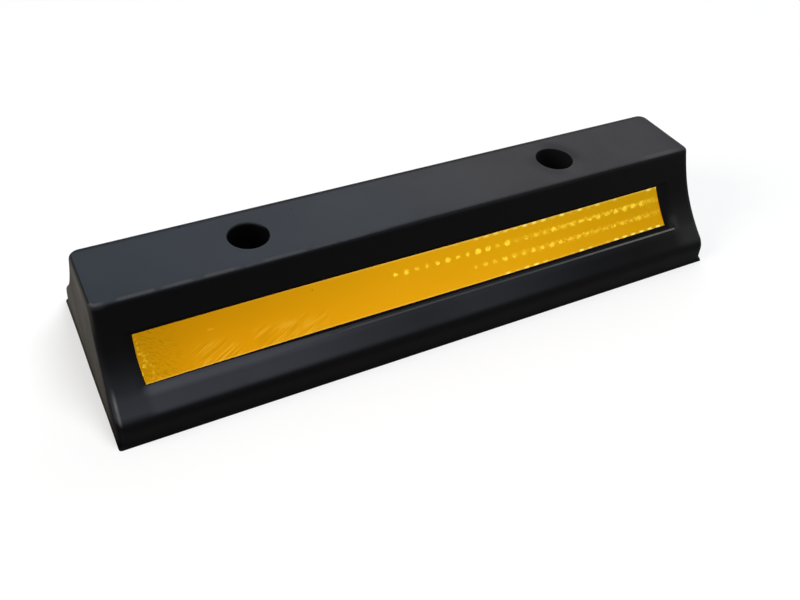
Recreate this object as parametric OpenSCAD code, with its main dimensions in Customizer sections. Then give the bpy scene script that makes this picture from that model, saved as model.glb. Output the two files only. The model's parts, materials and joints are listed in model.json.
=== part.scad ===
// Moulded rubber wheel stop with a reflective strip let into its front face.
// The origin is at the centre of the base: X runs along the length, the strip faces -Y, Z is up.

/* [Body] */
// Overall length, over the base lip
body_len = 550; // [450:5:650]
// Overall height
body_h = 91.5; // [84:0.5:105]
// Depth over the toes at the base, without the lip
base_depth = 170; // [156:1:190]
// Depth of the top, between its sharp corners
top_depth = 65; // [58:1:76]
// Lean of the end faces, in degrees
end_draft = 2.8; // [0:0.1:5]

/* [Toes] */
// Height of the toes
toe_h = 18.5; // [14:0.5:24]
// Lean of the toe faces, in degrees
toe_draft = 3.5; // [0:0.5:8]
// Radius of the nose above each toe
nose_r = 14; // [4:0.5:18]

/* [Faces and edges] */
// Radius of the hollow front and rear faces
face_r = 155; // [125:5:300]
// Radius of the top edges
top_r = 3.5; // [1:0.1:5]
// Radius of the upright corners at the toes
base_corner_r = 6.5; // [3:0.5:10]
// Radius of the upright corners at the top
top_corner_r = 8.5; // [6:0.5:14]

/* [Base lip] */
// How far the lip stands out
lip_out = 1.3; // [0.5:0.1:3]
// Height of the lip
lip_h = 2; // [1:0.5:4]
// Radius of the lip's corners
lip_corner_r = 2.5; // [1:0.5:5]

/* [Bolt holes] */
// Distance between the two bolt holes
bolt_span = 284; // [240:2:330]
// Diameter of the open sockets that take the bolt heads
socket_d = 32.5; // [26:0.5:36]
// Height of the socket floors above the ground
socket_floor = 22; // [12:1:40]
// Diameter of the bolt holes below the sockets
bolt_d = 16.5; // [10:0.5:20]

/* [Underside] */
// Thickness of the rubber behind the front and rear faces
wall_t = 13; // [9:0.5:18]
// Thickness of the rubber under the top
roof_t = 12; // [8:0.5:18]
// Least thickness of the end walls at the base
end_wall_t = 15; // [10:1:25]
// Thickness of the ribs
rib_t = 8; // [5:0.5:12]
// Ribs between the two bolt holes, counting one of the two that stand on them
rib_bays = 5; // [4:1:7]
// Thickness of the rubber round the bolt sockets
boss_wall = 8; // [5:0.5:10]
// Radius of the pockets' corners
pocket_r = 5; // [2:0.5:8]

/* [Strip recess] */
// Distance from each end of the body to the recess
recess_margin = 29; // [20:1:60]
// Depth of the recess
recess_depth = 1.8; // [1.2:0.1:3]
// Bare floor below the strip
recess_below = 4.5; // [1:0.5:8]
// Bare floor above the strip
recess_above = 2; // [1:0.5:6]

/* [Reflective strip] */
// Width of the strip
strip_w = 37; // [30:1:42]
// Thickness of the strip
strip_t = 0.8; // [0.4:0.1:1.2]
// Thickness of the adhesive that holds the strip, left as a gap
glue_t = 0.2; // [0.1:0.05:0.4]
// Height of the strip's middle above the ground, measured on the face
strip_mid_h = 51.2; // [48:0.2:56]
// Bare floor beyond the strip's left end
gap_left = 1.5; // [1:0.5:20]
// Bare floor beyond the strip's right end
gap_right = 14.5; // [1:0.5:20]

/* [Hidden] */

// How finely the moulded shell is stepped
corner_steps = 6;
nose_steps = 6;
face_steps = 22;
edge_steps = 6;

// Sides of a full circle in the hollow faces, the bolt holes and the pockets' corners
face_sides = 180;
hole_sides = 64;
pocket_sides = 32;

// How far a cutting shape runs past the surface it cuts
past = 3;

// The section is drawn as [depth, height] points on the rear half and mirrored to the front.
toe_foot = [base_depth / 2, lip_h];
toe_corner = [base_depth / 2 - (toe_h - lip_h) * tan(toe_draft), toe_h];
top_corner = [top_depth / 2, body_h];

// Centre of the hollow face: outside the body, face_r from the toe corner and the top corner
chord = top_corner - toe_corner;
face_c = (toe_corner + top_corner) / 2
    + [chord.y, -chord.x] / norm(chord) * sqrt(face_r^2 - (norm(chord) / 2)^2);

// Centre of the nose: inside the body, touching the toe face and the hollow face
toe_up = (toe_corner - toe_foot) / norm(toe_corner - toe_foot);
toe_in = [-toe_up.y, toe_up.x];
nose_from = toe_foot + nose_r * toe_in - face_c;
nose_up = -nose_from * toe_up
    - sqrt((nose_from * toe_up)^2 - nose_from * nose_from + (face_r + nose_r)^2);
nose_c = toe_foot + nose_up * toe_up + nose_r * toe_in;
nose_a1 = toe_draft;
nose_a2 = angle_of(face_c - nose_c);

// Centre of the top edge's round, touching the hollow face and the top
edge_z = body_h - top_r;
edge_y = face_c.x - sqrt((face_r + top_r)^2 - (edge_z - face_c.y)^2);
edge_a = angle_of(face_c - [edge_y, edge_z]);

// End faces, and the centre of the round along their top
end_x = body_len / 2 - lip_out;
end_edge_x = end_x - (edge_z - lip_h) * tan(end_draft) - top_r / cos(end_draft);

// Heights at which the toe face, the nose, the hollow face and the leaning ends give way
toe_end = nose_c.y + nose_r * sin(nose_a1);
nose_end = nose_c.y + nose_r * sin(nose_a2);
face_end = edge_z + top_r * sin(edge_a);
lean_end = edge_z + top_r * sin(end_draft);

// Heights of the shell's levels, from the lip to the top
levels = concat(
    [lip_h],
    [for (i = [0:nose_steps]) nose_c.y + nose_r * sin(mix(nose_a1, nose_a2, i / nose_steps))],
    [for (i = [1:face_steps]) mix(nose_end, face_end, i / face_steps)],
    [for (i = [1:edge_steps]) edge_z + top_r * sin(mix(edge_a, 90, i / edge_steps))]);

// Sockets, ribs and pockets under the body
socket_r = socket_d / 2;
boss_r = socket_r + boss_wall;
rib_pitch = bolt_span / rib_bays;
pocket_len = rib_pitch - rib_t;
pocket_top = body_h - roof_t;
pocket_limit = end_x - end_wall_t;
bay_shift = rib_bays % 2 == 1 ? 0 : rib_pitch / 2;
middle_w = 2 * boss_r - rib_t;
side_in = boss_r + rib_t / 2;
side_out = base_depth / 2 - wall_t;

// The recess floor and the back of the strip follow the hollow face
floor_r = face_r + recess_depth;
strip_back_r = floor_r - glue_t;
recess_len = body_len - 2 * recess_margin;
strip_len = recess_len - gap_left - gap_right;
strip_x = (gap_left - gap_right) / 2;
strip_a = -asin((face_c.y - strip_mid_h) / face_r);
half_strip_a = arc_angle(strip_w / 2);

function mix(a, b, t) = a + (b - a) * t;
function angle_of(v) = atan2(v.y, v.x);
function arc_angle(length) = length / floor_r * 180 / PI;

// Half depth of the body at a height above the lip
function half_depth(z) =
    z <= toe_end ? toe_foot.x + (z - lip_h) * toe_up.x / toe_up.y
    : z <= nose_end ? nose_c.x + sqrt(max(0, nose_r^2 - (z - nose_c.y)^2))
    : z <= face_end ? face_c.x - sqrt(face_r^2 - (z - face_c.y)^2)
    : edge_y + sqrt(max(0, top_r^2 - (z - edge_z)^2));

// Half length of the body at a height above the lip
function half_length(z) =
    z <= lean_end ? end_x - (z - lip_h) * tan(end_draft)
    : end_edge_x + sqrt(max(0, top_r^2 - (z - edge_z)^2));

// Radius of the upright corners at a height, drawn in where the top edge rounds over
function corner_radius(z) =
    mix(base_corner_r, top_corner_r, max(0, z - toe_h) / (body_h - toe_h))
    - (z <= edge_z ? 0 : top_r - sqrt(max(0, top_r^2 - (z - edge_z)^2)));

// Outline of one level: a rectangle with round corners
function level(hx, hy, r, z) = [
    for (c = [0:3], i = [0:corner_steps])
        let (a = 90 * c + 90 * i / corner_steps, sx = c == 0 || c == 3 ? 1 : -1, sy = c < 2 ? 1 : -1)
            [sx * (hx - r) + r * cos(a), sy * (hy - r) + r * sin(a), z]];

// Solid through a stack of outlines with the same number of points
module loft(rings) {
    n = len(rings[0]);
    last = len(rings) - 1;
    polyhedron(
        points = [for (ring = rings, p = ring) p],
        faces = concat(
            [[for (i = [n - 1:-1:0]) i]],
            [for (k = [0:last - 1], i = [0:n - 1]) let (j = (i + 1) % n)
                [k * n + i, k * n + j, (k + 1) * n + j, (k + 1) * n + i]],
            [[for (i = [0:n - 1]) last * n + i]]));
}

// Extrudes a section drawn in depth and height along the body's length
module along_length(length) {
    rotate([90, 0, 90]) linear_extrude(length, center = true) children();
}

// Rectangle with round corners
module round_rect(w, d, r) {
    square([w - 2 * r, d], center = true);
    square([w, d - 2 * r], center = true);
    for (x = [-1, 1], y = [-1, 1])
        translate([x * (w / 2 - r), y * (d / 2 - r)]) circle(r, $fn = pocket_sides);
}

// Outside of the moulding: base lip, toes, hollow faces and rounded top
module shell() {
    lip = [for (z = [0, lip_h]) level(body_len / 2, base_depth / 2 + lip_out, lip_corner_r, z)];
    body = [for (z = levels) level(half_length(z), half_depth(z), corner_radius(z), z)];
    loft(concat(lip, body));
}

// Space inside the walls and under the top
module core() {
    along_length(2 * pocket_limit) difference() {
        translate([-side_out - past, -past]) square([2 * (side_out + past), pocket_top + past]);
        for (s = [-1, 1])
            translate([s * face_c.x, face_c.y]) circle(face_r + wall_t, $fn = face_sides);
    }
}

// Plan of the pockets: three rows between the ribs
module pocket_plan() {
    count = floor((pocket_limit - bay_shift - pocket_len / 2) / rib_pitch);
    for (i = [-count - (bay_shift > 0 ? 1 : 0):count])
        translate([i * rib_pitch + bay_shift, 0]) {
            round_rect(pocket_len, middle_w, pocket_r);
            for (s = [-1, 1])
                translate([0, s * (side_in + side_out) / 2])
                    round_rect(pocket_len, side_out - side_in, pocket_r);
        }
}

// Open pockets that core out the underside, clear of the bosses round the sockets
module pockets() {
    difference() {
        intersection() {
            core();
            translate([0, 0, -past]) linear_extrude(body_h) pocket_plan();
        }
        for (s = [-1, 1])
            translate([s * bolt_span / 2, 0, -past]) cylinder(h = body_h + past, r = boss_r, $fn = hole_sides);
    }
}

// Socket for a bolt head, open at the top, with the bolt hole through its floor
module bolt_hole() {
    translate([0, 0, -past]) cylinder(h = body_h + past, d = bolt_d, $fn = hole_sides);
    translate([0, 0, socket_floor]) cylinder(h = body_h, d = socket_d, $fn = hole_sides);
}

// Layer that follows the front face, between two radii and two angles about the face's centre
module face_layer(r1, r2, a1, a2, length) {
    reach = 2 * r2;
    along_length(length) translate([-face_c.x, face_c.y]) intersection() {
        difference() {
            circle(r2, $fn = face_sides);
            circle(r1, $fn = face_sides);
        }
        polygon([[0, 0], reach * [cos(a1), sin(a1)], reach * [cos(a2), sin(a2)]]);
    }
}

module rubber_body() {
    color("#25272a") difference() {
        shell();
        pockets();
        for (s = [-1, 1]) translate([s * bolt_span / 2, 0]) bolt_hole();
        face_layer(face_r - past, floor_r, strip_a - half_strip_a - arc_angle(recess_below),
            strip_a + half_strip_a + arc_angle(recess_above), recess_len);
    }
}

module reflective_strip() {
    color("#dba012") translate([strip_x, 0])
        face_layer(strip_back_r - strip_t, strip_back_r, strip_a - half_strip_a, strip_a + half_strip_a,
            strip_len);
}

rubber_body();
reflective_strip();
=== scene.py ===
import json
import math
from types import SimpleNamespace

import bmesh
import bpy
from mathutils import Euler, Matrix, Vector, noise

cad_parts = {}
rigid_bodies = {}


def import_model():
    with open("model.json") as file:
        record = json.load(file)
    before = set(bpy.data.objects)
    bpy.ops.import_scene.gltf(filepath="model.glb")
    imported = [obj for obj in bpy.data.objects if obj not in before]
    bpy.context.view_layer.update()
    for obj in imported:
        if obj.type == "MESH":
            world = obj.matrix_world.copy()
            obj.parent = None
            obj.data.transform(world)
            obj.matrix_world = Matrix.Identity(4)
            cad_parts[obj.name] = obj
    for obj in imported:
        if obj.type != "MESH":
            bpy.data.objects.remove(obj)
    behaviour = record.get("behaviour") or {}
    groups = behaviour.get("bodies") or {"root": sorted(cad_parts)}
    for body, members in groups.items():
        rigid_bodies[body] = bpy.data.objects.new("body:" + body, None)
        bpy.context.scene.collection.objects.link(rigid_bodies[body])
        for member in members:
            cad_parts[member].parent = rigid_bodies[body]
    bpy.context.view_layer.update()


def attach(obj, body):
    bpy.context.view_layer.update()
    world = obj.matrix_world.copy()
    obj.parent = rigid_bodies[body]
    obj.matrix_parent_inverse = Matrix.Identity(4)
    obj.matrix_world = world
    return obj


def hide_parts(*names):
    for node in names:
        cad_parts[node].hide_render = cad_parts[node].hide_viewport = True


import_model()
mm = 0.001

# Moulded body, in millimetres
body = {
    "length": 550.0, "height": 91.5,
    "baseDepth": 170.0, "topDepth": 65.0, "endLean": 2.8,
    "toeHeight": 18.5, "toeLean": 3.5, "noseRadius": 14.0,
    "faceRadius": 155.0, "topRound": 3.5,
    "cornerBase": 6.5, "cornerTop": 8.5,
    "lipOut": 1.3, "lipHeight": 2.0, "lipCorner": 2.5, "footRound": 1.0,
    # share of the lip that stands on each side; the right end is trimmed most
    "lipFront": 1.1, "lipRight": 0.7, "lipLeft": 0.95, "lipRear": 0.95, "lipWander": 0.25,
    # where its share changes to that of the right end, the left end and the rear
    "lipRightAlong": (266, 273), "lipLeftAlong": (-264, -272), "lipLeftAcross": (-84, -76), "lipRearAcross": (-60, 70),
    "lipProfile": [(0.0, 1.2), (0.25, 1.3), (0.8, 1.2), (1.5, 0.85), (2.2, 0.4), (3.0, 0.08)],
    "cornerSteps": 8, "noseSteps": 9, "roundSteps": 7, "topBorder": 1.2, "sharpAngle": 32,
    # how much tighter the front corners are at the top than the rear ones, and between which heights it grows
    "frontTighter": 1.8, "tighterOver": (45.0, 85.0),
    # rings of vertices up the toe, then up the face to each height in steps of so much, finer at the recess's edges
    "toeFrom": 3.8, "toeStep": 3.0, "faceStep": 2.6,
    "faceRings": [(29.6, 1.2), (32.9, 0.4), (34.6, 0.17), (37, 0.4), (67.4, 3), (69.2, 0.2)],
    # columns of vertices along the front in the same way, finer at the recess's ends, and along the rear
    "frontFrom": -256,
    "frontColumns": [(-252.5, 3.5), (-245.7, 0.8), (-236, 1.6), (232, 6.5), (242, 1.25), (246, 0.33), (257, 3.5)],
    "rearReach": 250.0, "rearStep": 12.5,
}

# Recess for the strip, in the front face
recess = {
    "left": -252.5, "right": 245.4, "bottom": 33.3, "top": 68.5,
    "depth": 1.8, "edge": 0.9, "leftEdge": 6.5, "rightEdge": 9.0, "corner": 3.4,
    # towards the left the lower edge melts into a wide soft slope
    "softAlong": (-45.0, -205.0), "softBottom": 30.3, "softEdge": 6.4,
    # the right end is crisp up to this much above the ledge, and soft so much higher
    "crisp": 1.0, "crispFade": 5.0,
}

# Bolt sockets and the holes through their floors
socket = {"span": 284.0, "radius": 16.25, "floor": 22.0, "boltRadius": 8.25, "boltEdge": 0.5,
          "rim": 0.5, "fillet": 1.0, "rings": (86.0, 70.0, 50.0, 35.0), "sides": 72, "steps": 4}

# Cored underside
pocket = {"pitch": 56.8, "length": 48.8, "middleWidth": 40.5, "innerSide": 28.25, "outerSide": 72.0,
          "roof": 79.5, "wall": 13.0, "corner": 5.0, "bossRadius": 24.25, "eachWay": 4,
          "columns": 4, "rows": 8, "cornerSteps": 4}

# Small pits in the top: their places and radii, and the dent's shape as shares of the radius at each depth
pit = {"places": [(-186.4, 29.0, 0.8), (-99.4, 18.3, 0.9)], "shape": [(0.85, 0.12), (0.55, 0.42), (0.25, 0.55)],
       "sides": 12}


def sectionOf(shape):
    # circles that touch toe, face and top, as depth and height
    toeFoot = Vector((shape["baseDepth"] / 2, shape["lipHeight"]))
    toeLean = math.tan(math.radians(shape["toeLean"]))
    toeCorner = Vector((toeFoot.x - (shape["toeHeight"] - shape["lipHeight"]) * toeLean, shape["toeHeight"]))
    topCorner = Vector((shape["topDepth"] / 2, shape["height"]))
    chord = topCorner - toeCorner
    faceR, noseR, roundR = shape["faceRadius"], shape["noseRadius"], shape["topRound"]
    faceC = ((toeCorner + topCorner) / 2 + Vector((chord.y, -chord.x)).normalized()
             * math.sqrt(faceR ** 2 - (chord.length / 2) ** 2))
    toeUp = (toeCorner - toeFoot).normalized()
    noseFrom = toeFoot + noseR * Vector((-toeUp.y, toeUp.x)) - faceC
    along = -noseFrom.dot(toeUp) - math.sqrt(
        noseFrom.dot(toeUp) ** 2 - noseFrom.length_squared + (faceR + noseR) ** 2)
    noseC = toeFoot + along * toeUp + noseR * Vector((-toeUp.y, toeUp.x))
    roundZ = shape["height"] - roundR
    roundY = faceC.x - math.sqrt((faceR + roundR) ** 2 - (roundZ - faceC.y) ** 2)
    toFace = faceC - noseC
    toRound = faceC - Vector((roundY, roundZ))
    noseA1, noseA2 = math.radians(shape["toeLean"]), math.atan2(toFace.y, toFace.x)
    roundA = math.atan2(toRound.y, toRound.x)
    endX = shape["length"] / 2 - shape["lipOut"]
    lean = math.radians(shape["endLean"])
    return {
        "toeFoot": toeFoot, "toeUp": toeUp, "faceC": faceC, "noseC": noseC,
        "roundY": roundY, "roundZ": roundZ, "roundA": roundA, "noseA1": noseA1, "noseA2": noseA2,
        "toeEnd": noseC.y + noseR * math.sin(noseA1), "noseEnd": noseC.y + noseR * math.sin(noseA2),
        "faceEnd": roundZ + roundR * math.sin(roundA), "leanEnd": roundZ + roundR * math.sin(lean),
        "endX": endX, "lean": lean,
        "roundX": endX - (roundZ - shape["lipHeight"]) * math.tan(lean) - roundR / math.cos(lean),
    }


section = sectionOf(body)


def halfDepth(z):
    s = section
    if z <= s["toeEnd"]:
        return s["toeFoot"].x + (z - body["lipHeight"]) * s["toeUp"].x / s["toeUp"].y
    if z <= s["noseEnd"]:
        return s["noseC"].x + math.sqrt(max(0.0, body["noseRadius"] ** 2 - (z - s["noseC"].y) ** 2))
    if z <= s["faceEnd"]:
        return s["faceC"].x - math.sqrt(body["faceRadius"] ** 2 - (z - s["faceC"].y) ** 2)
    return s["roundY"] + math.sqrt(max(0.0, body["topRound"] ** 2 - (z - s["roundZ"]) ** 2))


def halfLength(z):
    s = section
    if z <= s["leanEnd"]:
        return s["endX"] - (z - body["lipHeight"]) * math.tan(s["lean"])
    return s["roundX"] + math.sqrt(max(0.0, body["topRound"] ** 2 - (z - s["roundZ"]) ** 2))


def cornerRadius(z):
    share = max(0.0, z - body["toeHeight"]) / (body["height"] - body["toeHeight"])
    radius = mixed(body["cornerBase"], body["cornerTop"], share)
    if z > section["roundZ"]:
        radius -= body["topRound"] - math.sqrt(max(0.0, body["topRound"] ** 2 - (z - section["roundZ"]) ** 2))
    return radius


def faceAngle(z):
    # elevation of the hollow face's normal
    return math.asin((section["faceC"].y - z) / body["faceRadius"])


def arcAt(z):
    # distance up the hollow face
    return -body["faceRadius"] * faceAngle(z)


def smooth(t):
    t = min(1.0, max(0.0, t))
    return t * t * (3 - 2 * t)


def rise(value, start, end):
    # smooth step from 0 at start to 1 at end
    return smooth((value - start) / (end - start))


def mixed(a, b, share):
    return a + (b - a) * share


def recessDepth(x, z):
    # how far the front face is let in
    if z < section["noseEnd"] + 1 or z > section["faceEnd"]:
        return 0.0
    soft = rise(x, *recess["softAlong"])
    low = arcAt(mixed(recess["bottom"], recess["softBottom"], soft))
    edge = mixed(recess["edge"], recess["softEdge"], soft)
    up, down = arcAt(z) - low, arcAt(recess["top"]) - arcAt(z)
    fromLeft, fromRight = x - recess["left"], recess["right"] - x
    corner = recess["corner"]
    if fromRight < corner and up < corner:
        up = fromRight = corner - math.hypot(corner - fromRight, corner - up)
    rightEdge = mixed(recess["edge"], recess["rightEdge"],
                      smooth((z - recess["bottom"] - recess["crisp"]) / recess["crispFade"]))
    return (recess["depth"] * smooth(up / edge) * smooth(down / recess["edge"])
            * smooth(fromLeft / recess["leftEdge"]) * smooth(fromRight / rightEdge))


def spread(start, end, step):
    # evenly spaced numbers from start up to but not including end
    count = max(1, round((end - start) / step))
    return [start + (end - start) * i / count for i in range(count)]


def stretches(start, parts):
    # the same over several stretches, each given as its end and its step
    numbers = []
    for end, step in parts:
        numbers += spread(start, end, step)
        start = end
    return numbers


def bodyLevels():
    # heights of the rings, from the lip to the top
    s = section
    nose = [s["noseC"].y + body["noseRadius"] * math.sin(mixed(s["noseA1"], s["noseA2"], i / body["noseSteps"]))
            for i in range(body["noseSteps"])]
    crown = [s["roundZ"] + body["topRound"] * math.sin(mixed(s["roundA"], math.pi / 2, i / body["roundSteps"]))
             for i in range(body["roundSteps"] + 1)]
    faceRings = stretches(s["noseEnd"], body["faceRings"] + [(s["faceEnd"], body["faceStep"])])
    return spread(body["toeFrom"], s["toeEnd"], body["toeStep"]) + nose + faceRings + crown


def outlineStations():
    # stations round the outline, counter-clockwise: front columns, corners, ends and rear columns
    sides = [-0.9, -0.6, -0.3, 0.0, 0.3, 0.6, 0.9]
    reach = body["rearReach"]

    def corner(sx, sy, turn):
        steps = body["cornerSteps"]
        return [("corner", (sx, sy), math.radians(turn + 90 * i / steps)) for i in range(steps + 1)]

    stations = [("front", x, 0) for x in stretches(body["frontFrom"], body["frontColumns"])] + corner(1, -1, -90)
    stations += [("end", 1, t) for t in sides] + corner(1, 1, 0)
    stations += [("rear", x, 0) for x in [reach] + spread(-reach, reach, body["rearStep"])[::-1]] + corner(-1, 1, 90)
    return stations + [("end", -1, -t) for t in sides] + corner(-1, -1, 180)


def stationPoint(station, z, out=0.0, radius=None):
    # a station's place at one height, out millimetres beyond the body
    kind, where, at = station
    hy, hx = halfDepth(z) + out, halfLength(z) + out
    r = cornerRadius(z) if radius is None else radius
    if kind == "front":
        depth = recessDepth(where, z)
        if depth > 0:
            angle = faceAngle(z)
            return Vector((where, -hy + depth * math.cos(angle), z - depth * math.sin(angle))) * mm
        return Vector((where, -hy, z)) * mm
    if kind == "rear":
        return Vector((where, hy, z)) * mm
    if kind == "end":
        return Vector((where * hx, at * (hy - r), z)) * mm
    sx, sy = where
    if sy < 0 and radius is None:
        r -= body["frontTighter"] * rise(z, *body["tighterOver"])
    return Vector((sx * (hx - r) + r * math.cos(at), sy * (hy - r) + r * math.sin(at), z)) * mm


def startLoop(bm, places):
    # a closed loop through places, as a circle whose vertices are moved
    verts = bmesh.ops.create_circle(bm, segments=len(places), radius=1)["verts"]
    for vert, place in zip(verts, places):
        vert.co = place
    return verts, list({e for v in verts for e in v.link_edges})


def raiseLoop(bm, verts, edges, places):
    # extrudes a loop and sets each new vertex on its place
    order = {v: i for i, v in enumerate(verts)}
    made = bmesh.ops.extrude_edge_only(bm, edges=edges)["geom"]
    newVerts = [v for v in made if isinstance(v, bmesh.types.BMVert)]
    ring = [None] * len(verts)
    for v in newVerts:
        below = next(e.other_vert(v) for e in v.link_edges if e.other_vert(v) in order)
        ring[order[below]] = v
    for v, place in zip(ring, places):
        v.co = place
    return ring, [e for e in made if isinstance(e, bmesh.types.BMEdge)]


def circlePlaces(x, y, radius, z, sides):
    return [Vector((x + radius * math.cos(2 * math.pi * i / sides),
                    y + radius * math.sin(2 * math.pi * i / sides), z)) * mm for i in range(sides)]


def lipShare(place):
    # how much of the lip stands at a place of the outline, with the wander of a trimmed edge
    x, y = place.x / mm, place.y / mm
    share = mixed(body["lipFront"], body["lipRight"], rise(x, *body["lipRightAlong"]))
    share = mixed(share, body["lipLeft"], rise(x, *body["lipLeftAlong"]) * rise(y, *body["lipLeftAcross"]))
    share = mixed(share, body["lipRear"], rise(y, *body["lipRearAcross"]))
    return max(0.0, min(1.0, share * (1 + body["lipWander"] * noise.noise(Vector((x / 60, y / 60, 3.1))))))


def makeShell(bm):
    # lip, toes, faces, ends and the rounded top edge, ring on ring
    stations = outlineStations()
    shares = [lipShare(stationPoint(s, body["lipHeight"])) for s in stations]
    verts, edges, bottomEdges = None, None, None
    foot = body["footRound"]
    for z, out in body["lipProfile"]:
        radius = mixed(body["lipCorner"], body["cornerBase"], smooth(z - 1.2))
        rounded = -foot * (1 - math.sqrt(max(0.0, 1 - max(0.0, 1 - z / foot) ** 2)))
        places = []
        for s, share in zip(stations, shares):
            place = stationPoint(s, max(z, body["lipHeight"]), mixed(rounded, out, share),
                                 mixed(body["cornerBase"], radius, share))
            place.z = z * mm
            places.append(place)
        if verts is None:
            verts, edges = startLoop(bm, places)
            bottomEdges = list(edges)
        else:
            verts, edges = raiseLoop(bm, verts, edges, places)
    for z in bodyLevels():
        verts, edges = raiseLoop(bm, verts, edges, [stationPoint(s, z) for s in stations])
    border = body["topBorder"]
    places = [stationPoint(s, body["height"], -border, cornerRadius(body["height"]) - border) for s in stations]
    verts, topEdges = raiseLoop(bm, verts, edges, places)
    return bottomEdges, topEdges


def makeSocket(bm, x):
    # from the rounded rim down to the socket's floor and through the bolt hole
    s, sides, top = socket, socket["sides"], body["height"]
    turns = [math.radians(90 * i / s["steps"]) for i in range(s["steps"] + 1)]
    profile = [(s["radius"] + s["rim"] * (1 - math.sin(a)), top - s["rim"] * (1 - math.cos(a))) for a in turns]
    profile += [(s["radius"], z) for z in s["rings"]]
    profile += [(s["radius"] - s["fillet"] * (1 - math.cos(a)), s["floor"] + s["fillet"] * (1 - math.sin(a)))
                for a in turns]
    profile += [(s["boltRadius"] + s["boltEdge"], s["floor"]), (s["boltRadius"], s["floor"] - s["boltEdge"]),
                (s["boltRadius"], 0.0)]
    verts, edges = startLoop(bm, circlePlaces(x, 0, *profile[0], sides))
    topEdges = list(edges)
    for radius, z in profile[1:]:
        verts, edges = raiseLoop(bm, verts, edges, circlePlaces(x, 0, radius, z, sides))
    return topEdges, edges


def makePit(bm, x, y, radius):
    # a shallow round dent in the top
    sides, top = pit["sides"], body["height"]
    verts, edges = startLoop(bm, circlePlaces(x, y, radius, top, sides))
    rim = list(edges)
    for share, depth in pit["shape"]:
        verts, edges = raiseLoop(bm, verts, edges, circlePlaces(x, y, radius * share, top - depth, sides))
    bmesh.ops.contextual_create(bm, geom=verts)
    return rim


def roofHeight(y):
    # underside of the wall behind the hollow faces, and of the top
    reach = body["faceRadius"] + pocket["wall"]
    sag = reach ** 2 - (section["faceC"].x - abs(y)) ** 2
    return min(pocket["roof"], section["faceC"].y - math.sqrt(sag)) if sag > 0 else pocket["roof"]


def makePocket(bm, x, y1, y2):
    # one pocket: a flat grid with round corners, pushed up to its roof
    place = (Matrix.Translation((x * mm, (y1 + y2) / 2 * mm, 0))
             @ Matrix.Diagonal((pocket["length"] * mm, (y2 - y1) * mm, 1, 1)))
    made = bmesh.ops.create_grid(bm, x_segments=pocket["columns"], y_segments=pocket["rows"], size=0.5,
                                  matrix=place)
    faces = list({f for v in made["verts"] for f in v.link_faces})
    corners = [v for v in made["verts"] if len(v.link_edges) == 2]
    result = bmesh.ops.bevel(bm, geom=corners, offset=pocket["corner"] * mm, segments=pocket["cornerSteps"],
                             profile=0.5, affect="VERTICES", material=-1)
    faces = list({f for f in faces + result["faces"] if f.is_valid})
    # next to a socket the pocket's side follows its boss
    boss = min((-socket["span"] / 2, socket["span"] / 2), key=lambda b: abs(b - x))
    side = 1 if boss > x else -1
    verts = {v for f in faces for v in f.verts}
    for v in verts:
        y = v.co.y / mm
        if abs(y) < pocket["bossRadius"]:
            limit = boss - side * math.sqrt(pocket["bossRadius"] ** 2 - y ** 2)
            if side * (v.co.x / mm - limit) > 0:
                v.co.x = limit * mm
    bmesh.ops.remove_doubles(bm, verts=list(verts), dist=1e-6)
    faces = [f for f in faces if f.is_valid]
    up = bmesh.ops.extrude_face_region(bm, geom=faces)["geom"]
    for v in up:
        if isinstance(v, bmesh.types.BMVert):
            v.co.z = roofHeight(v.co.y / mm) * mm
    bmesh.ops.delete(bm, geom=[f for f in faces if f.is_valid], context="FACES_KEEP_BOUNDARY")


def makePockets(bm):
    # three rows of them: under the middle, the rear face and the front face
    half, inner, outer = pocket["middleWidth"] / 2, pocket["innerSide"], pocket["outerSide"]
    for i in range(-pocket["eachWay"], pocket["eachWay"] + 1):
        for y1, y2 in ((-half, half), (inner, outer), (-outer, -inner)):
            makePocket(bm, i * pocket["pitch"], y1, y2)


def buildBody():
    bm = bmesh.new()
    bottomEdges, topEdges = makeShell(bm)
    for x in (-socket["span"] / 2, socket["span"] / 2):
        top, bottom = makeSocket(bm, x)
        topEdges += top
        bottomEdges += bottom
    for x, y, radius in pit["places"]:
        topEdges += makePit(bm, x, y, radius)
    before = set(bm.edges)
    makePockets(bm)
    bottomEdges += [e for e in bm.edges if e not in before and e.is_boundary]
    for edges, normal in ((topEdges, (0, 0, 1)), (bottomEdges, (0, 0, -1))):
        bmesh.ops.triangle_fill(bm, use_beauty=True, use_dissolve=False, edges=edges, normal=normal)
    bmesh.ops.remove_doubles(bm, verts=bm.verts, dist=1e-7)
    bmesh.ops.recalc_face_normals(bm, faces=bm.faces)
    openEdges = [e for e in bm.edges if not e.is_manifold]
    print("body: faces", len(bm.faces), "open edges", len(openEdges))
    return meshPiece("mouldedBody", bm, body["sharpAngle"])


def meshPiece(name, bm, sharpAngle):
    mesh = bpy.data.meshes.new(name)
    for face in bm.faces:
        face.smooth = True
    bm.to_mesh(mesh)
    bm.free()
    mesh.set_sharp_from_angle(angle=math.radians(sharpAngle))
    piece = bpy.data.objects.new(name, mesh)
    bpy.context.scene.collection.objects.link(piece)
    return piece


# Reflective strip, in millimetres: cells of the prismatic sheet lie in rows along it
strip = {
    # laid by hand: its ends are cut a little out of square and it climbs a little to the right
    "left": -245.0, "leftSlant": 0.3, "leftBow": 0.8, "right": 232.4, "rightSlant": 1.9, "bottom": 36.45, "top": 66.4,
    "climb": (-0.35, 0.75, -0.35, 0.2), "wave": (0.3, 0.9), "face": 0.8, "thickness": 0.8,
    "cell": 9.64, "cellFrom": -38.4, "rows": 3, "across": 37, "along": 476, "sharpAngle": 40,
}


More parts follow.
